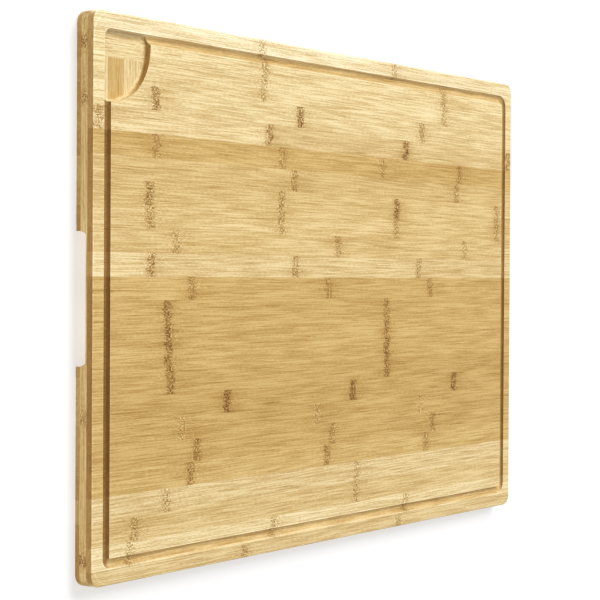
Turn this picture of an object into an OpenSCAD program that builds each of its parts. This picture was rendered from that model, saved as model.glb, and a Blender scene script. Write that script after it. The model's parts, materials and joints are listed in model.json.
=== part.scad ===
// Cutting board of cross-laminated bamboo: two outer plies of strips along the length, and a core
// of slats that run crosswise. A juice groove follows the rim, a pour well sits in one corner and a
// finger notch is cut into the underside at each end.
// X is the length, Y the width, and the cutting face looks up along +Z.
// The origin is the centre of the underside.

/* [Board] */
// Length of the board, along the grain of both outer plies
board_l = 609.6; // [560:0.1:660]
// Width of the board, across the grain of both outer plies
board_w = 406.4; // [380:0.1:430]
// Thickness of the ply that carries the cutting face
face_ply = 4.9; // [4.7:0.1:5.1]
// Thickness of the core
core_ply = 6.3; // [5.5:0.1:8]
// Thickness of the ply on the underside
back_ply = 4.8; // [4:0.1:6]
// Radius of the four corners, seen from above
corner_r = 9; // [6:0.5:10.5]
// Radius of the rounding along the outer edges of both faces
edge_r = 1.5; // [0.8:0.1:2.5]

/* [Strips] */
// Width of the face strip along the far edge (+Y)
face_first_w = 14.2; // [12.5:0.1:16]
// Width of the face strip along the near edge (-Y)
face_last_w = 11.2; // [10.8:0.1:11.8]
// Width of the back strip along the far edge (+Y)
back_first_w = 16; // [12:0.1:17]
// Width of the back strip along the near edge (-Y)
back_last_w = 9.4; // [9:0.1:17]
// Width of the narrow core slat at the left end (-X)
core_first_w = 4.1; // [3.5:0.1:6]
// How much thicker the first two face strips are than the others
thick_extra = 0.6; // [0.5:0.1:1]

/* [Juice groove] */
// Width of the flat rim outside the groove
rim_w = 12; // [11:0.1:13.5]
// Width of the groove at the cutting face
groove_w = 7.2; // [6.5:0.1:7.4]
// Depth of the groove
groove_depth = 3; // [2.4:0.1:3.4]
// Radius of the groove's outer line at the two left corners (-X)
groove_left_r = 7.6; // [7.5:0.1:8.5]
// Radius of the groove's outer line at the two right corners (+X)
groove_right_r = 11.5; // [8:0.1:14]

/* [Pour well] */
// Radius of the arc that closes the well
well_arc_r = 43; // [36:0.5:46]
// Distance along Y from the rim to the centre of that arc
well_arc_in = 8.6; // [8.2:0.1:9]
// Depth of the well
well_depth = 5.2; // [5.1:0.05:5.3]
// Radius between the well's wall and its floor
well_cove_r = 3; // [1:0.1:3.4]

/* [Finger notches] */
// Length of each notch along Y
notch_l = 95.4; // [80:0.1:120]
// How far each notch reaches in from the end of the board
notch_in = 14; // [12:0.1:18]
// Thickness left between a notch and the cutting face
notch_roof = 6.2; // [5.9:0.1:7]
// Radius of a notch's inner corners, seen from below
notch_corner_r = 10; // [6:0.1:11]
// Radius between a notch's wall and its roof
notch_cove_r = 3.6; // [1:0.1:5]
// Radius of the rounding along a notch's edge on the underside
notch_lip_r = 1.2; // [0.5:0.1:2]

/* [Hidden] */
$fn = 96;
clear = 1;  // how far a cutting shape runs past the surface it opens
board_h = back_ply + core_ply + face_ply;
face_count = 24;
back_count = 24;
core_count = 36;
core_nodes = 12;  // each holds three slats that aren't neighbours, so every slat stays a solid of its own
thick_strips = 2;
face_pitch = (board_w - face_first_w - face_last_w) / (face_count - 2);
back_pitch = (board_w - back_first_w - back_last_w) / (back_count - 2);
core_pitch = (board_l - core_first_w) / (core_count - 1);

// The groove's section is an arc of a circle whose centre is above the cutting face.
groove_arc_r = (groove_w * groove_w / 4 + groove_depth * groove_depth) / (2 * groove_depth);
groove_z = board_h - groove_depth + groove_arc_r;
groove_x = board_l / 2 - rim_w - groove_w / 2;
groove_y = board_w / 2 - rim_w - groove_w / 2;
well_end_r = groove_w / 2;
well_reach_y = well_arc_in + well_arc_r;

// Tone of each face strip from the far edge to the near edge: 0 pale, 1 straw, 2 golden
FACE_TONE = [0, 0, 0, 0, 0, 1, 1, 1, 1, 1, 0, 2, 2, 2, 2, 2, 2, 2, 2, 2, 1, 0, 0, 0];
TONES = [[0.91, 0.82, 0.61], [0.86, 0.74, 0.5], [0.82, 0.68, 0.43]];
CORE_TONE = [0.83, 0.72, 0.5];
BACK_TONE = [0.85, 0.74, 0.51];

function numbered(name, i) = str(name, i < 9 ? "_0" : "_", i + 1);
FACE_NODES = [for (i = [0 : face_count - 1]) numbered("face_strip", i)];
CORE_NODES = [for (i = [0 : core_nodes - 1]) numbered("core_slats", i)];
BACK_NODES = [for (i = [0 : back_count - 1]) numbered("back_strip", i)];

// Distance from the edge that a row of strips starts at to its joint number k
function joint_at(k, first, pitch, count, total) =
    k == 0 ? 0 : k == count ? total : first + (k - 1) * pitch;

// Section of a pocket with a coved wall: from x = 0 inside the pocket out to the wall at x = reach,
// and from the surface at y = 0 down to the floor. A lip radius rounds the pocket's upper edge.
module pocket_section(reach, depth, cove_r, lip_r = 0) {
    difference() {
        translate([0, -depth]) square([reach, depth + clear]);
        translate([reach - cove_r, -depth]) difference() {
            translate([0, -clear]) square(cove_r + clear);
            translate([0, cove_r]) circle(cove_r);
        }
    }
    if (lip_r > 0)
        difference() {
            translate([reach - clear, -lip_r]) square([lip_r + clear, lip_r + clear]);
            translate([reach + lip_r, -lip_r]) circle(lip_r);
        }
}

// Quarter of a round pocket, turned to start at the given angle
module pocket_corner(at, start, reach, depth, cove_r, lip_r = 0) {
    translate(at) rotate([0, 0, start]) rotate_extrude(angle = 90)
        pocket_section(reach, depth, cove_r, lip_r);
}

// Straight side of a pocket: it starts at a point on its inner line, the wall is on the side that
// the angle points to, and the side runs on for its length to the left of that direction
module pocket_side(at, facing, length, reach, depth, cove_r, lip_r = 0) {
    translate(at) rotate([0, 0, facing]) translate([0, length, 0]) rotate([90, 0, 0])
        linear_extrude(length) pocket_section(reach, depth, cove_r, lip_r);
}

// What the rounding of an edge takes away, in section
module edge_section() {
    difference() {
        square(edge_r + clear);
        circle(edge_r);
    }
}

// Ring that rounds the board's outer edge where it meets the cutting face
module edge_ring() {
    x = board_l / 2 - corner_r;
    y = board_w / 2 - corner_r;
    for (side = [0, 180]) rotate([0, 0, side]) {
        translate([board_l / 2 - edge_r, y, board_h - edge_r]) rotate([90, 0, 0])
            linear_extrude(2 * y) edge_section();
        rotate([0, 0, 90]) translate([board_w / 2 - edge_r, x, board_h - edge_r]) rotate([90, 0, 0])
            linear_extrude(2 * x) edge_section();
        for (near = [0, 1]) mirror([0, near, 0])
            translate([x, y, board_h - edge_r]) rotate_extrude(angle = 90)
                translate([corner_r - edge_r, 0]) edge_section();
    }
}

// What lies outside the board's four rounded corners
module outside_corners() {
    for (x = [0, 1], y = [0, 1]) mirror([x, 0, 0]) mirror([0, y, 0])
        translate([board_l / 2 - corner_r, board_w / 2 - corner_r, -clear]) difference() {
            cube([corner_r + clear, corner_r + clear, board_h + 2 * clear]);
            translate([0, 0, -clear]) cylinder(r = corner_r, h = board_h + 4 * clear);
        }
}

// Quarter turn of the groove, turned to start at the given angle
module groove_corner(at, start, outer_r) {
    translate([at[0], at[1], groove_z]) rotate([0, 0, start]) rotate_extrude(angle = 90)
        translate([outer_r - groove_w / 2, 0]) circle(groove_arc_r);
}

// Juice groove: it leaves the pour well along the far side, goes round the board and ends in the
// well again on the left
module juice_groove() {
    left_x = -(board_l / 2 - rim_w - groove_left_r);
    left_y = board_w / 2 - rim_w - groove_left_r;
    right_x = board_l / 2 - rim_w - groove_right_r;
    right_y = board_w / 2 - rim_w - groove_right_r;
    well_x = -(board_l / 2 - rim_w) + well_arc_r / 2;
    well_y = board_w / 2 - rim_w - well_arc_r / 2;
    translate([well_x, groove_y, groove_z]) rotate([0, 90, 0])
        cylinder(r = groove_arc_r, h = right_x - well_x);
    groove_corner([right_x, right_y], 0, groove_right_r);
    translate([groove_x, -right_y, groove_z]) rotate([-90, 0, 0])
        cylinder(r = groove_arc_r, h = 2 * right_y);
    groove_corner([right_x, -right_y], -90, groove_right_r);
    translate([left_x, -groove_y, groove_z]) rotate([0, 90, 0])
        cylinder(r = groove_arc_r, h = right_x - left_x);
    groove_corner([left_x, -left_y], 180, groove_left_r);
    translate([-groove_x, -left_y, groove_z]) rotate([-90, 0, 0])
        cylinder(r = groove_arc_r, h = well_y + left_y);
}

// Pour well, drawn with its outer corner at the origin and both walls along the axes
module well_shape() {
    c = groove_left_r;
    end_y = well_reach_y - well_end_r;
    pocket_corner([c, well_arc_in], 0, well_arc_r, well_depth, well_cove_r);
    pocket_corner([c, c], 180, c, well_depth, well_cove_r);
    pocket_corner([c + well_arc_r - well_arc_in, well_arc_in], -90, well_arc_in, well_depth, well_cove_r);
    pocket_corner([well_end_r, end_y], 90, well_end_r, well_depth, well_cove_r);
    pocket_side([c, well_arc_in], -90, well_arc_r - well_arc_in, well_arc_in, well_depth, well_cove_r);
    pocket_side([c, end_y], 180, end_y - c, c, well_depth, well_cove_r);
    pocket_side([c, end_y], 90, c - well_end_r, well_end_r, well_depth, well_cove_r);
}

module pour_well() {
    translate([-board_l / 2 + rim_w, board_w / 2 - rim_w, board_h]) mirror([0, 1, 0]) well_shape();
}

// Finger notch of the right end (+X), open at the end and at the underside
module notch_shape() {
    r = notch_corner_r;
    depth = board_h - notch_roof;
    inner_x = board_l / 2 - notch_in + r;
    side_y = notch_l / 2 - r;
    run_out = notch_in - r + 2 * clear;
    mirror([0, 0, 1]) {
        translate([inner_x, -side_y, -depth]) cube([run_out, 2 * side_y, depth + clear]);
        pocket_side([inner_x, side_y], 180, 2 * side_y, r, depth, notch_cove_r, notch_lip_r);
        pocket_corner([inner_x, side_y], 90, r, depth, notch_cove_r, notch_lip_r);
        pocket_corner([inner_x, -side_y], 180, r, depth, notch_cove_r, notch_lip_r);
        pocket_side([inner_x + run_out, side_y], 90, run_out, r, depth, notch_cove_r, notch_lip_r);
        pocket_side([inner_x, -side_y], -90, run_out, r, depth, notch_cove_r, notch_lip_r);
    }
}

module finger_notches() {
    for (end = [0, 1]) mirror([end, 0, 0]) notch_shape();
}

// Strip i of the cutting face, counted from the far edge
module face_strip(i) {
    far = joint_at(i, face_first_w, face_pitch, face_count, board_w);
    near = joint_at(i + 1, face_first_w, face_pitch, face_count, board_w);
    thickness = face_ply + (i < thick_strips ? thick_extra : 0);
    color(TONES[FACE_TONE[i]]) difference() {
        translate([-board_l / 2, board_w / 2 - near, board_h - thickness])
            cube([board_l, near - far, thickness]);
        outside_corners();
        edge_ring();
        juice_groove();
        pour_well();
    }
}

// Slat i of the core, counted from the left end
module core_slat(i) {
    left = joint_at(i, core_first_w, core_pitch, core_count, board_l);
    right = joint_at(i + 1, core_first_w, core_pitch, core_count, board_l);
    thick_w = joint_at(thick_strips, face_first_w, face_pitch, face_count, board_w);
    color(CORE_TONE) difference() {
        translate([left - board_l / 2, -board_w / 2, back_ply]) cube([right - left, board_w, core_ply]);
        translate([-board_l, board_w / 2 - thick_w, board_h - face_ply - thick_extra])
            cube([2 * board_l, board_w, board_h]);
        outside_corners();
        pour_well();
        finger_notches();
    }
}

// Strip i of the underside, counted from the far edge
module back_strip(i) {
    far = joint_at(i, back_first_w, back_pitch, back_count, board_w);
    near = joint_at(i + 1, back_first_w, back_pitch, back_count, board_w);
    color(BACK_TONE) difference() {
        translate([-board_l / 2, board_w / 2 - near, 0]) cube([board_l, near - far, back_ply]);
        outside_corners();
        translate([0, 0, board_h]) mirror([0, 0, 1]) edge_ring();
        finger_notches();
    }
}

for (i = [0 : face_count - 1])
    face_strip(i);
for (i = [0 : core_nodes - 1])
    for (k = [i : core_nodes : core_count - 1]) core_slat(k);
for (i = [0 : back_count - 1])
    back_strip(i);
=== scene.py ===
"""Looks of the bamboo cutting board: materials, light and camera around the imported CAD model.

Every strip keeps its CAD mesh. The three materials below are procedural: each reads the place on the
surface in the board's own frame, and what differs from strip to strip comes from custom properties
that are set on the objects. Lengths inside the shaders are in millimetres, apart from the bump's.
"""
import json
import math
import random

import bpy
from mathutils import Matrix, Vector


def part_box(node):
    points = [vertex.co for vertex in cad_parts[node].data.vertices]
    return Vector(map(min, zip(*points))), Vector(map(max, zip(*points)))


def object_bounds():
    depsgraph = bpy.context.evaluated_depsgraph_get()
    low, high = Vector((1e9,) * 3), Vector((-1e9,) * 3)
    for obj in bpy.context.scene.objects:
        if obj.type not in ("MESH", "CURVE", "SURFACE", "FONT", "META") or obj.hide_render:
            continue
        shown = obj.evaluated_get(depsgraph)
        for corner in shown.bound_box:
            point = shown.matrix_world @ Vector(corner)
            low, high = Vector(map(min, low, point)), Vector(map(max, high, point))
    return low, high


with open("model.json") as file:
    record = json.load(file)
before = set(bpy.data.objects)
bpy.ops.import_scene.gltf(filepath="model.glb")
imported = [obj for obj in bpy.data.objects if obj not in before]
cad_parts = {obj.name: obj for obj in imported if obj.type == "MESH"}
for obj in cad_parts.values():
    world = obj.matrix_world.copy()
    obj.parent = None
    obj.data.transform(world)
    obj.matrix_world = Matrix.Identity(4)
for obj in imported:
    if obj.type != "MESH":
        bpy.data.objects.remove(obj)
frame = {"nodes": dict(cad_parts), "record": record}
cad_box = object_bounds()

MM = 0.001
LOW, HIGH = cad_box
LENGTH = (HIGH[0] - LOW[0]) / MM
WIDTH = (HIGH[1] - LOW[1]) / MM
THICKNESS = (HIGH[2] - LOW[2]) / MM

NODES = [part["node"] for part in frame["record"]["subparts"]]
FACE = [node for node in NODES if node.startswith("face_strip")]
CORE = [node for node in NODES if node.startswith("core_slats")]
BACK = [node for node in NODES if node.startswith("back_strip")]

# Juice groove and rim, in millimetres
RIM = 12.0
GROOVE = 7.2
GROOVE_LEFT_R = 7.6
GROOVE_RIGHT_R = 11.5
# Height of the well's floor above the table
WELL_FLOOR = 10.8
# Distance from one core slat to the next, and the left side of slat 1 less that distance
SLAT_PITCH = (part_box(CORE[2])[0].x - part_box(CORE[1])[0].x) / MM
SLAT_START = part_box(CORE[1])[0].x / MM - SLAT_PITCH

# Bamboo colours, sRGB from 0 to 255, and what they are all multiplied by once they are linear
IVORY = (240, 219, 172)
PALE = (231, 206, 150)
CREAM = (224, 196, 138)
STRAW = (219, 188, 126)
GOLDEN = (209, 174, 106)
BRIGHTNESS = 1.07

# Darker bamboo is browner too: a stain of 1 multiplies red, green and blue by this, and a stain of S by
# its power S, so that a negative stain makes a place paler
BROWN = (0.42, 0.29, 0.13)

# Each face strip from the far edge to the near edge: its colour and its stain
FACE_TONES = [
    (IVORY, 0.0), (PALE, -0.02), (PALE, 0.03), (PALE, 0.0), (CREAM, -0.10), (GOLDEN, 0.01),
    (STRAW, 0.05), (STRAW, 0.0), (STRAW, -0.05), (STRAW, 0.0), (CREAM, -0.10), (GOLDEN, 0.0),
    (GOLDEN, 0.04), (GOLDEN, 0.05), (GOLDEN, 0.0), (GOLDEN, 0.07), (GOLDEN, 0.10), (GOLDEN, 0.05),
    (GOLDEN, 0.06), (GOLDEN, -0.02), (CREAM, -0.01), (STRAW, -0.03), (CREAM, -0.14), (CREAM, 0.06),
]
# The same for the slats seen at the left end and in the floor of the well
SEEN_CORE_TONES = {
    CORE[0]: (CREAM, 0.18), CORE[1]: (PALE, 0.0), CORE[2]: (GOLDEN, 0.0), CORE[3]: (PALE, 0.0),
}
# Colours that the other slats and the back strips are drawn from, and the most stain of a back strip
CORE_COLORS = (STRAW, PALE)
BACK_COLORS = (PALE, STRAW, STRAW, GOLDEN)
BACK_STAIN = 0.04

# Knuckles of each face strip: millimetres from the left end, stain (negative in a pale one) and, where
# it shows, how much browner the cane is to the right of it
KNUCKLES = [
    [(198, 0.15), (394, 0.12, 0.11)],
    [(204, 0.18), (480, 0.18)],
    [(201, 0.15), (481, 0.18)],
    [(68, 0.45), (252, 0.65), (442, 0.25)],
    [(5, 0.2), (209, 0.35, 0.17), (415, 0.62, -0.05), (602, 0.4)],
    [(69, 0.12), (228, 0.12), (377, 0.1), (509, 0.2)],
    [(244, 0.22), (504, 0.2)],
    [(61, 0.4), (226, 0.22), (400, 0.62), (580, 0.22)],
    [(62, 0.22), (226, 0.2, 0.0), (399, 0.15, 0.07), (580, 0.18)],
    [(92, 0.12), (308, 0.2), (519, 0.12)],
    [(63, 0.3, 0.09), (246, 0.25), (437, 0.2)],
    [(111, 0.22), (294, 0.15), (457, 0.22)],
    [(83, 0.42), (385, 0.25)],
    [(84, 0.45), (385, 0.3)],
    [(84, 0.40), (385, 0.45)],
    [(86, 0.42), (385, 0.35)],
    [(156, 0.52), (332, 0.55), (501, 0.48)],
    [(100, -0.12), (278, -0.10), (442, -0.20)],
    [(118, 0.35), (300, 0.15), (463, 0.22)],
    [(111, 0.3), (293, 0.3), (452, 0.22)],
    [(82, 0.1), (339, 0.1)],
    [(46, 0.18), (337, 0.15)],
    [(41, 0.12), (218, 0.15), (418, 0.15)],
    [(180, 0.2), (407, 0.2)],
]
# Knuckles of the slat at the left end: millimetres from the near edge, and stain
LEFT_END_KNUCKLES = [(18, 0.5), (118, 0.15), (343, 0.15), (383, 0.35)]
# Elsewhere they are random: place of the first, distance from each to the next, and stain, each with
# the least and the most
WILD_FIRST = (-60.0, 90.0)
WILD_GAP = (150.0, 230.0)
WILD_STAIN = (0.05, 0.55)
# A strip has room for this many, and those that it doesn't have lie this far off its end
KNUCKLE_SLOTS = 4
NO_KNUCKLE = -1000.0
# Most that one length of cane is browner or paler than the one before it, unless stated above
CANE_STEP = 0.03

# Each piece moves its noise patterns by a random seed of up to this, and each layer of the grain and of
# the fibres moves them on
MOST_SEED = 900.0
LAYER_SEED = 17.0
FIBRE_SEED = 211.0
# The slats of a node move them too, by this for each slat, and their knuckles from one slat of the node
# to its next
SLAT_SEED = 3.7
SLAT_SHIFT = 71.0

# Grain of the long faces: length and thickness of its streaks in millimetres, and the stain they make
GRAIN = ((60.0, 14.0, 0.14), (150.0, 8.0, 0.12), (120.0, 3.8, 0.09), (70.0, 1.9, 0.12),
         (36.0, 0.9, 0.50), (4.0, 0.8, 0.28))
# The layer of it that can be felt, counted from 0, and its height where its stain is 1
FELT_GRAIN = 4
GRAIN_HEIGHT = -1.2
# Single dark fibres in the same way, and the noise at which a fibre starts and is full
FIBRES = ((90.0, 1.2, 0.18), (42.0, 0.8, 0.46))
FIBRE_NOISE = (0.62, 0.76)
# Stain of the palest grain, and of the palest place of all
PALEST_GRAIN = -0.16
PALEST = -0.32

# Distances from a knuckle's middle where its stain starts and is full, the same for the weaker cast
# round it and for its effect on the grain, and the share of the stain that the cast has. Distances to
# the right of it count for less, so that there it fades more slowly.
KNUCKLE_CORE = (5.4, 1.2)
KNUCKLE_CAST = (15.0, 1.0)
KNUCKLE_NEAR = (26.0, 3.0)
CAST_SHARE = 0.22
RIGHT_SIDE = 0.7
# How far its line wanders along the strip, and how often it does so per millimetre across it
KNUCKLE_WOBBLE = 6.0
WOBBLE_PER_MM = 0.2
# How far the fibres near it waver, how much more they do inside it, and how often they do so per
# millimetre along and across the strip
WAVER = 0.8
WAVER_INSIDE = 1.3
WAVER_PER_MM = (0.35, 0.3)
# Its short dashes: how many per millimetre along and across the strip, how far they bend, and how often
DASHES_PER_MM = (0.45, 1.35)
BEND = 2.0
BEND_PER_MM = (0.42, 0.16)
# The noise at which a dash is fully dark and fully pale, and those stains
DASH_NOISE = (0.34, 0.66)
DARK_DASH, PALE_DASH = 0.95, -0.42
# How densely they lie inside the knuckle and near it, how much of that a knuckle without stain has, and
# how much a stain of 1 adds
DASHES_INSIDE, DASHES_NEAR = 0.9, 0.3
PLAIN_DASHES, STAINED_DASHES = 0.62, 0.9
# Its stain is uneven: patches per millimetre, the noise where it starts to rise and is highest, and its
# share at the two
MOTTLE_PER_MM = (0.2, 0.28)
MOTTLE_NOISE = (0.3, 0.6)
MOTTLE = (0.35, 0.9)

# Stain of wood cut across its fibres, in the face ply and in the others
FACE_END_STAIN = 0.92
END_STAIN = 0.62
# How far the surface has to face along the fibres for end grain to start and to be full
END_FACING = (0.45, 0.9)
# Ends of fibre bundles: how many per millimetre across and through the strip, the distances from their
# middle, in bundles, where they start and are full, their stain, and their height
BUNDLES_PER_MM = (1.15, 1.35)
BUNDLE_SIZE = (0.42, 0.20)
BUNDLE_STAIN = 0.35
BUNDLE_HEIGHT = -0.6
# Stain between them, and the patches that it varies by, per millimetre and in stain
GROUND_STAIN = -0.12
PATCHES_PER_MM = (0.16, 0.5)
PATCH_STAIN = 0.35

# Groove's browning, part router burn and part painted shade in its hollow, more in its left arm, which
# crosses the fibres; painted highlight of the rim round it
ROUTED_BURN_AND_SHADE = 0.28
CROSS_BURN_AND_SHADE = 0.9
# the rim is made paler by a painted highlight
RIM_HIGHLIGHT = -0.06
# How far past the groove's edge its burn and painted shade start and how far inside they are full, half the
# distance over which the left arm's begin, and how far above the well's floor they start and are full
ROUTED_START, ROUTED_FULL = 0.2, 1.7
CROSS_FADE = 2.0
ABOVE_WELL = (0.1, 0.8)

# Painted highlights along the edges, where light would catch the rounded arrises: their stain, the distance
# of their middle from the groove's edge and from the board's side, the distances from their middle where
# they start and are full, and the same below the face
EDGE_HIGHLIGHT = -0.18
EDGE_AT_GROOVE = 0.25
EDGE_AT_SIDE = 0.9
EDGE_LINE = (0.5, 0.1)
EDGE_DEPTH = (1.0, 0.2)

# Glue lines: stain, and distances from where two strips meet at which it starts and is full
GLUE_STAIN = 0.05
GLUE_LINE = (0.25, 0.05)

# Roughness of the bamboo and what a height of 1 adds to it, its bump and its shine
ROUGHNESS = 0.52
ROUGHNESS_OF_HEIGHT = -0.10
BUMP_STRENGTH = 0.35
BUMP_DISTANCE = 0.12 * MM
SPECULAR = 0.35

# Lights: name, place and side in metres, and power in watts
LIGHTS = (
    ("key", (0.8, 2.3, 3.1), 2.2, 130.0),
    ("fill", (-2.3, -0.6, 0.9), 1.8, 9.0),
)
# Strength of the surroundings at the horizon and overhead, and the upward parts of a direction between
# which it changes
HORIZON, OVERHEAD = 0.85, 0.34
HORIZON_FADE = (0.1, 0.3)
# Floor: half its side in metres, how far it is below the board, its grey, glow and roughness
FLOOR_REACH = 8.0
FLOOR_GAP = 0.1 * MM
FLOOR_GREY = 0.5
FLOOR_GLOW = 0.56
FLOOR_ROUGHNESS = 0.8
WHITE = (1.0, 1.0, 1.0, 1.0)

# Camera: place in metres, angles in degrees (yaw is measured from straight down), and lens and sensor
# in millimetres
CAMERA_PLACE = (-1.2715, 0.01695, 0.8687)
CAMERA_YAW, CAMERA_TILT, CAMERA_ROLL = 55.05, -0.747, 0.318
CAMERA_LENS = 110.0
CAMERA_SENSOR = 36.0

random.seed(24)


def linear(color):
    """sRGB from 0 to 255 as linear RGB"""
    return [((value / 255 + 0.055) / 1.055) ** 2.4 for value in color]


class Shader:
    """One material's node tree, built from the texture coordinates up. A value may be a socket or a
    number."""

    def __init__(self, name):
        self.material = bpy.data.materials.new(name)
        self.material.use_nodes = True
        self.tree = self.material.node_tree
        self.tree.nodes.clear()

    def node(self, kind, settings=None, **inputs):
        made = self.tree.nodes.new(kind)
        for key, value in (settings or {}).items():
            setattr(made, key, value)
        for key, value in inputs.items():
            self.feed(made.inputs[key.replace("_", " ")], value)
        return made

    def feed(self, socket, value):
        if isinstance(value, bpy.types.NodeSocket):
            self.tree.links.new(value, socket)
        else:
            socket.default_value = value

    def math(self, operation, *values, clamp=False):
        made = self.node("ShaderNodeMath", {"operation": operation, "use_clamp": clamp})
        for socket, value in zip(made.inputs, values):
            self.feed(socket, value)
        return made.outputs[0]

    def vector(self, operation, *values, output="Vector"):
        made = self.node("ShaderNodeVectorMath", {"operation": operation})
        for socket, value in zip(made.inputs, values):
            self.feed(socket, value)
        return made.outputs[output]

    def combine(self, x, y, z):
        return self.node("ShaderNodeCombineXYZ", X=x, Y=y, Z=z).outputs[0]

    def separate(self, vector):
        return self.node("ShaderNodeSeparateXYZ", Vector=vector).outputs

    def ramp(self, value, start, end, low=0.0, high=1.0):
        """Smooth step from low at start to high at end"""
        made = self.node("ShaderNodeMapRange", {"interpolation_type": "SMOOTHSTEP"}, Value=value)
        for key, number in (("From Min", start), ("From Max", end), ("To Min", low), ("To Max", high)):
            self.feed(made.inputs[key], number)
        return made.outputs[0]

    def noise(self, vector, detail):
        made = self.node("ShaderNodeTexNoise", Vector=vector, Scale=1.0, Detail=detail, Roughness=0.5)
        return made.outputs[0]

    def spots(self, vector):
        """Distance to the nearest of many scattered points"""
        return self.node("ShaderNodeTexVoronoi", Vector=vector, Scale=1.0).outputs["Distance"]

    def own(self, name, kind="Fac"):
        """A custom property of the object"""
        settings = {"attribute_type": "OBJECT", "attribute_name": name}
        return self.node("ShaderNodeAttribute", settings).outputs[kind]

    def finish(self, **inputs):
        """The material, with these inputs to its surface"""
        surface = self.node("ShaderNodeBsdfPrincipled", **inputs)
        self.node("ShaderNodeOutputMaterial", Surface=surface.outputs[0])
        return self.material


def total(shader, values):
    """Sum of a list of sockets"""
    result = values[0]
    for value in values[1:]:
        result = shader.math("ADD", result, value)
    return result


def mix(shader, factor, a, b):
    """Number from a at factor 0 to b at factor 1"""
    return shader.math("MULTIPLY_ADD", factor, shader.math("SUBTRACT", b, a), a)


def centred(shader, value, gain):
    """A noise value from 0 to 1, as a gain to each side of 0"""
    return shader.math("MULTIPLY_ADD", value, 2 * gain, -gain)


def place_on_board(shader):
    """x, y and z in millimetres, and the surface's normal"""
    coordinates = shader.node("ShaderNodeTexCoord")
    scaled = shader.node("ShaderNodeVectorMath", {"operation": "SCALE"}, Scale=1 / MM)
    shader.feed(scaled.inputs[0], coordinates.outputs["Object"])
    return shader.separate(scaled.outputs[0]), shader.separate(coordinates.outputs["Normal"])


def pattern_place(shader, first, second, third, per_mm, seed):
    """Place in a noise pattern with so many features per millimetre in its first two directions"""
    return shader.combine(
        shader.math("MULTIPLY_ADD", first, per_mm[0], seed),
        shader.math("MULTIPLY", second, per_mm[1]),
        third,
    )


def grain_noise(shader, along, across, depth, seed, length, thickness):
    """Streaks of about that length and thickness, from 0 to 1"""
    place = shader.combine(
        shader.math("MULTIPLY_ADD", along, 1 / length, seed),
        shader.math("MULTIPLY_ADD", across, 1 / thickness, seed),
        shader.math("MULTIPLY", depth, 1 / thickness),
    )
    return shader.noise(place, 1.0)


def stained(shader, base, stain):
    """A bamboo colour made browner, or paler where the stain is negative"""
    return shader.vector("MULTIPLY", base, shader.combine(*(shader.math("POWER", c, stain) for c in BROWN)))


def knuckle_masks(shader, along, across, seed):
    """Sums over the strip's knuckles at this point: how deep it is inside one, how near it is to one, the
    stain that they leave, and the stain of the length of cane that the point is in"""
    wobble = shader.noise(shader.combine(seed, shader.math("MULTIPLY", across, WOBBLE_PER_MM), 0.0), 3.0)
    along = shader.math("ADD", along, centred(shader, wobble, KNUCKLE_WOBBLE))
    inside, near, stain, steps = [], [], [], []
    for slot in range(KNUCKLE_SLOTS):
        offset = shader.math("SUBTRACT", along, shader.own(f"knuckle_{slot}"))
        distance = shader.math("MAXIMUM", shader.math("MULTIPLY", offset, RIGHT_SIDE),
                               shader.math("MULTIPLY", offset, -1.0))
        core = shader.ramp(distance, *KNUCKLE_CORE)
        cast = shader.ramp(distance, *KNUCKLE_CAST, 0.0, CAST_SHARE)
        inside.append(core)
        near.append(shader.ramp(distance, *KNUCKLE_NEAR))
        stain.append(shader.math("MULTIPLY", shader.math("ADD", core, cast), shader.own(f"dark_{slot}")))
        steps.append(shader.math("MULTIPLY", shader.ramp(offset, -1.0, 1.0), shader.own(f"step_{slot}")))
    return [total(shader, group) for group in (inside, near, stain, steps)]


def wavering(shader, along, across, seed, inside, near):
    """The place across the strip, moved as the fibres waver near a knuckle"""
    place = shader.combine(shader.math("MULTIPLY", along, WAVER_PER_MM[0]),
                           shader.math("MULTIPLY_ADD", across, WAVER_PER_MM[1], seed), 0.0)
    waver = centred(shader, shader.noise(place, 2.0), WAVER)
    reach = shader.math("MULTIPLY_ADD", inside, WAVER_INSIDE, near)
    return shader.math("MULTIPLY_ADD", waver, reach, across)


def grain_streaks(shader, along, across, depth, seed):
    """Stains of the layers of the grain and of the single fibres"""
    streaks = []
    for number, (length, thickness, gain) in enumerate(GRAIN):
        layer_seed = shader.math("ADD", seed, LAYER_SEED * number)
        streak = grain_noise(shader, along, across, depth, layer_seed, length, thickness)
        streaks.append(centred(shader, streak, gain))
    for number, (length, thickness, gain) in enumerate(FIBRES):
        layer_seed = shader.math("ADD", seed, FIBRE_SEED + LAYER_SEED * number)
        fibre = grain_noise(shader, along, across, depth, layer_seed, length, thickness)
        streaks.append(shader.ramp(fibre, *FIBRE_NOISE, 0.0, gain))
    return streaks


def dash_noise(shader, along, across, depth, seed):
    """Short wavy dashes, from 0 to 1"""
    bend = shader.noise(pattern_place(shader, along, across, depth, BEND_PER_MM, seed), 1.0)
    bent = shader.math("ADD", across, centred(shader, bend, BEND))
    return shader.noise(pattern_place(shader, along, bent, depth, DASHES_PER_MM, seed), 1.0)


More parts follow.
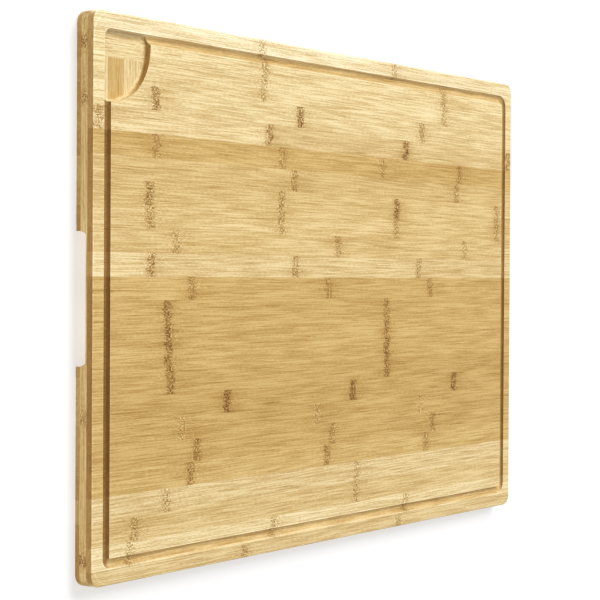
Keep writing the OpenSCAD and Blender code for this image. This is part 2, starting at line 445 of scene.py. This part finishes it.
def long_grain(shader, along, across, depth, seed):
    """Stain and height of a surface that runs along the fibres"""
    inside, near, knuckle, steps = knuckle_masks(shader, along, across, seed)
    across = wavering(shader, along, across, seed, inside, near)
    streaks = grain_streaks(shader, along, across, depth, seed)
    stains = [shader.math("MAXIMUM", total(shader, streaks), PALEST_GRAIN), steps]
    dashes = dash_noise(shader, along, across, depth, seed)
    outside = shader.math("MULTIPLY", near, DASHES_NEAR)
    density = shader.math("MULTIPLY_ADD", inside, DASHES_INSIDE, outside, clamp=True)
    strength = shader.math("MULTIPLY_ADD", shader.math("ABSOLUTE", knuckle), STAINED_DASHES, PLAIN_DASHES)
    density = shader.math("MULTIPLY", density, strength)
    stains.append(shader.math("MULTIPLY", shader.ramp(dashes, *DASH_NOISE, DARK_DASH, PALE_DASH), density))
    mottle = shader.noise(pattern_place(shader, along, across, depth, MOTTLE_PER_MM, seed), 2.0)
    stains.append(shader.math("MULTIPLY", knuckle, shader.ramp(mottle, *MOTTLE_NOISE, *MOTTLE)))
    dash_height = shader.math("MULTIPLY", dashes, inside)
    height = shader.math("MULTIPLY_ADD", streaks[FELT_GRAIN], GRAIN_HEIGHT, dash_height)
    return shader.math("MAXIMUM", total(shader, stains), PALEST), height


def end_grain(shader, across, depth, seed, stain):
    """Stain and height of a surface cut across the fibres: dark bundle ends in a paler ground"""
    spots = shader.spots(pattern_place(shader, across, depth, 0.0, BUNDLES_PER_MM, seed))
    bundle = shader.ramp(spots, *BUNDLE_SIZE)
    patch = shader.noise(pattern_place(shader, across, depth, 0.0, PATCHES_PER_MM, seed), 2.0)
    uneven = shader.math("MULTIPLY_ADD", bundle, BUNDLE_STAIN, centred(shader, patch, PATCH_STAIN))
    height = shader.math("MULTIPLY", bundle, BUNDLE_HEIGHT)
    return shader.math("ADD", uneven, stain + GROUND_STAIN), height


def groove_distance(shader, x, y):
    """Distance outwards from the groove's outer line, negative inside it"""
    radius = shader.ramp(x, -1.0, 1.0, GROOVE_LEFT_R, GROOVE_RIGHT_R)
    sides = []
    for value, half in ((x, LENGTH / 2 - RIM), (y, WIDTH / 2 - RIM)):
        reach = shader.math("SUBTRACT", half, radius)
        sides.append(shader.math("SUBTRACT", shader.math("ABSOLUTE", value), reach))
    corner = shader.combine(*(shader.math("MAXIMUM", side, 0.0) for side in sides), 0.0)
    outside = shader.vector("LENGTH", corner, output="Value")
    inside = shader.math("MINIMUM", shader.math("MAXIMUM", *sides), 0.0)
    return shader.math("SUBTRACT", shader.math("ADD", outside, inside), radius)


def groove_burn_and_shade(shader, distance, x, z):
    """Browning in the groove, part router burn and part painted shade of its hollow, which is more at the
    left end, where it crosses the fibres on its way from the well"""
    off_middle = shader.math("ABSOLUTE", shader.math("ADD", distance, GROOVE / 2))
    left_arm = -LENGTH / 2 + RIM + GROOVE
    # painted shade of the groove's hollow together with router burn, strongest in the left arm
    routed = shader.ramp(x, left_arm + CROSS_FADE, left_arm - CROSS_FADE, ROUTED_BURN_AND_SHADE, CROSS_BURN_AND_SHADE)
    stain = shader.ramp(off_middle, GROOVE / 2 + ROUTED_START, GROOVE / 2 - ROUTED_FULL, 0.0, routed)
    return shader.math("MULTIPLY", stain, shader.ramp(z, *(WELL_FLOOR + height for height in ABOVE_WELL)))


def painted_edge_highlights(shader, distance, z):
    """Painted highlight along the edges of the rim and of the groove, where light would catch their rounded
    arrises, from 0 to 1
    """
    outer = shader.math("SUBTRACT", distance, EDGE_AT_GROOVE)
    inner = shader.math("ADD", distance, GROOVE + EDGE_AT_GROOVE)
    side = shader.math("SUBTRACT", distance, RIM - EDGE_AT_SIDE)
    lines = [shader.ramp(shader.math("ABSOLUTE", line), *EDGE_LINE) for line in (outer, inner, side)]
    top = shader.ramp(z, *(THICKNESS - depth for depth in EDGE_DEPTH))
    return shader.math("MULTIPLY", total(shader, lines), top, clamp=True)


def face_burn_shade_and_highlights(shader, x, y, z):
    """Router burn and painted shade of the groove, painted highlight of the rim, and painted highlights on
    the edges
    """
    distance = groove_distance(shader, x, y)
    return [
        # router burn and painted shade in the groove
        groove_burn_and_shade(shader, distance, x, z),
        # painted highlight that makes the rim paler
        shader.ramp(distance, 0.0, 1.0, 0.0, RIM_HIGHLIGHT),
        # painted highlights along the edges of the rim and of the groove
        shader.math("MULTIPLY", painted_edge_highlights(shader, distance, z), EDGE_HIGHLIGHT),
    ]


def glue_stain(shader, y):
    """Stain where two strips meet"""
    gap = shader.math("MINIMUM", shader.math("SUBTRACT", y, shader.own("near")),
                      shader.math("SUBTRACT", shader.own("far"), y))
    return shader.ramp(gap, *GLUE_LINE, 0.0, GLUE_STAIN)


def slat_cane(shader, x, along, seed):
    """Place along the fibres and seed in a core slat, as each slat of a node is a cane of its own"""
    slat = shader.math("FLOOR", shader.math("MULTIPLY_ADD", x, 1 / SLAT_PITCH, -SLAT_START / SLAT_PITCH))
    lap = shader.math("FLOOR", shader.math("DIVIDE", slat, len(CORE)))
    along = shader.math("MULTIPLY_ADD", lap, SLAT_SHIFT, along)
    return along, shader.math("MULTIPLY_ADD", slat, SLAT_SEED, seed)


def bamboo(name, axis, end_stain, core=False, face=False):
    """Bamboo whose fibres run along the given axis (0 for X, 1 for Y)"""
    shader = Shader(name)
    place, normal = place_on_board(shader)
    x, y, z = place
    seed = shader.own("seed")
    along = shader.math("ADD", place[axis], (LENGTH, WIDTH)[axis] / 2)
    across = place[1 - axis]
    if core:
        along, seed = slat_cane(shader, x, along, seed)
    long_stain, long_height = long_grain(shader, along, across, z, seed)
    cut_stain, cut_height = end_grain(shader, across, z, seed, end_stain)
    is_end = shader.ramp(shader.math("ABSOLUTE", normal[axis]), *END_FACING)
    height = mix(shader, is_end, long_height, cut_height)
    stains = [mix(shader, is_end, long_stain, cut_stain)]
    if not core:
        stains.append(glue_stain(shader, y))
    # the face ply also gets the groove's painted shade and the rim's and edges' painted highlights
    if face:
        stains += face_burn_shade_and_highlights(shader, x, y, z)
    color = stained(shader, shader.own("tone", "Vector"), total(shader, stains))
    rough = shader.math("MULTIPLY_ADD", height, ROUGHNESS_OF_HEIGHT, ROUGHNESS)
    bump = shader.node("ShaderNodeBump", Strength=BUMP_STRENGTH, Distance=BUMP_DISTANCE, Height=height)
    return shader.finish(Base_Color=color, Roughness=rough, Normal=bump.outputs[0],
                         Specular_IOR_Level=SPECULAR)


def describe(piece, color, stain, knuckles):
    """Sets what the materials read from one strip or slats node"""
    low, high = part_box(piece.name)
    piece["seed"] = random.uniform(0.0, MOST_SEED)
    piece["tone"] = [BRIGHTNESS * c * brown ** stain for c, brown in zip(linear(color), BROWN)]
    # the board's own sides have no glue line
    piece["near"] = low.y / MM if low.y > LOW[1] + MM else -WIDTH
    piece["far"] = high.y / MM if high.y < HIGH[1] - MM else WIDTH
    for slot in range(KNUCKLE_SLOTS):
        at, dark, *step = knuckles[slot] if slot < len(knuckles) else (NO_KNUCKLE, 0.0, 0.0)
        piece[f"knuckle_{slot}"] = float(at)
        piece[f"dark_{slot}"] = float(dark)
        piece[f"step_{slot}"] = float(step[0]) if step else random.uniform(-CANE_STEP, CANE_STEP)


def finish_piece(node, material, color, stain, knuckles):
    piece = frame["nodes"][node]
    describe(piece, color, stain, knuckles)
    piece.data.materials.clear()
    piece.data.materials.append(material)


def wild_knuckles():
    """Random knuckles, for a strip or slat whose own aren't in view"""
    at = random.uniform(*WILD_FIRST)
    found = []
    for _ in range(KNUCKLE_SLOTS):
        found.append((at, random.uniform(*WILD_STAIN)))
        at += random.uniform(*WILD_GAP)
    return found


def finish_face():
    material = bamboo("face_bamboo", 0, FACE_END_STAIN, face=True)
    for node, (color, stain), knuckles in zip(FACE, FACE_TONES, KNUCKLES):
        finish_piece(node, material, color, stain, knuckles)


def finish_core():
    material = bamboo("core_bamboo", 1, END_STAIN, core=True)
    for node in CORE:
        unseen = (random.choice(CORE_COLORS), 0.0)
        color, stain = SEEN_CORE_TONES.get(node, unseen)
        knuckles = LEFT_END_KNUCKLES if node == CORE[0] else wild_knuckles()
        finish_piece(node, material, color, stain, knuckles)


def finish_back():
    material = bamboo("back_bamboo", 0, END_STAIN)
    for node in BACK:
        color = random.choice(BACK_COLORS)
        stain = random.uniform(-BACK_STAIN, BACK_STAIN)
        finish_piece(node, material, color, stain, wild_knuckles())


def make_floor():
    """Pale floor that the board lies on, which glows a little so that the shadow on it stays faint"""
    mesh = bpy.data.meshes.new("floor")
    corners = [(FLOOR_REACH * x, FLOOR_REACH * y, 0) for x, y in ((-1, -1), (1, -1), (1, 1), (-1, 1))]
    mesh.from_pydata(corners, [], [(0, 1, 2, 3)])
    floor = bpy.data.objects.new("floor", mesh)
    floor.location.z = LOW[2] - FLOOR_GAP
    bpy.context.scene.collection.objects.link(floor)
    grey = (FLOOR_GREY, FLOOR_GREY, FLOOR_GREY, 1.0)
    shader = Shader("floor_white")
    mesh.materials.append(shader.finish(Base_Color=grey, Roughness=FLOOR_ROUGHNESS, Emission_Color=WHITE,
                                        Emission_Strength=FLOOR_GLOW))


def make_light(name, place, size, power):
    """Soft square light aimed at the middle of the board"""
    data = bpy.data.lights.new(name, "AREA")
    data.shape = "SQUARE"
    data.size = size
    data.energy = power
    light = bpy.data.objects.new(name, data)
    light.location = place
    light.rotation_euler = (Vector((0, 0, 0)) - Vector(place)).to_track_quat("-Z", "Y").to_euler()
    bpy.context.scene.collection.objects.link(light)


def make_world():
    """White surroundings, brighter towards the horizon"""
    world = bpy.data.worlds.new("studio")
    world.use_nodes = True
    tree = world.node_tree
    direction = tree.nodes.new("ShaderNodeTexCoord").outputs["Generated"]
    parts = tree.nodes.new("ShaderNodeSeparateXYZ")
    tree.links.new(direction, parts.inputs[0])
    fade = tree.nodes.new("ShaderNodeMapRange")
    fade.interpolation_type = "SMOOTHSTEP"
    tree.links.new(parts.outputs["Z"], fade.inputs["Value"])
    numbers = (*HORIZON_FADE, HORIZON, OVERHEAD)
    for key, number in zip(("From Min", "From Max", "To Min", "To Max"), numbers):
        fade.inputs[key].default_value = number
    background = tree.nodes["Background"]
    background.inputs["Color"].default_value = WHITE
    tree.links.new(fade.outputs[0], background.inputs["Strength"])
    bpy.context.scene.world = world


def turned(first, second, angle):
    """Two directions at right angles, turned in their own plane by an angle from the first to the
    second"""
    cosine, sine = math.cos(angle), math.sin(angle)
    return cosine * first + sine * second, cosine * second - sine * first


def make_camera():
    """Camera to the left of the board and above it, with the board's far edge (+Y) upwards in the
    picture"""
    yaw, tilt, roll = (math.radians(angle) for angle in (CAMERA_YAW, CAMERA_TILT, CAMERA_ROLL))
    right = Vector((math.cos(yaw), 0, math.sin(yaw)))
    ahead = Vector((math.sin(yaw), 0, -math.cos(yaw)))
    ahead, up = turned(ahead, Vector((0, 1, 0)), tilt)
    right, up = turned(right, up, roll)
    data = bpy.data.cameras.new("camera")
    data.sensor_width = CAMERA_SENSOR
    data.lens = CAMERA_LENS
    camera = bpy.data.objects.new("camera", data)
    rotation = Matrix((right, up, -ahead)).transposed().to_4x4()
    camera.matrix_world = Matrix.Translation(CAMERA_PLACE) @ rotation
    bpy.context.scene.collection.objects.link(camera)
    bpy.context.scene.camera = camera


finish_face()
finish_core()
finish_back()
make_floor()
for light in LIGHTS:
    make_light(*light)
make_world()
make_camera()
bpy.context.scene.view_settings.view_transform = "Standard"
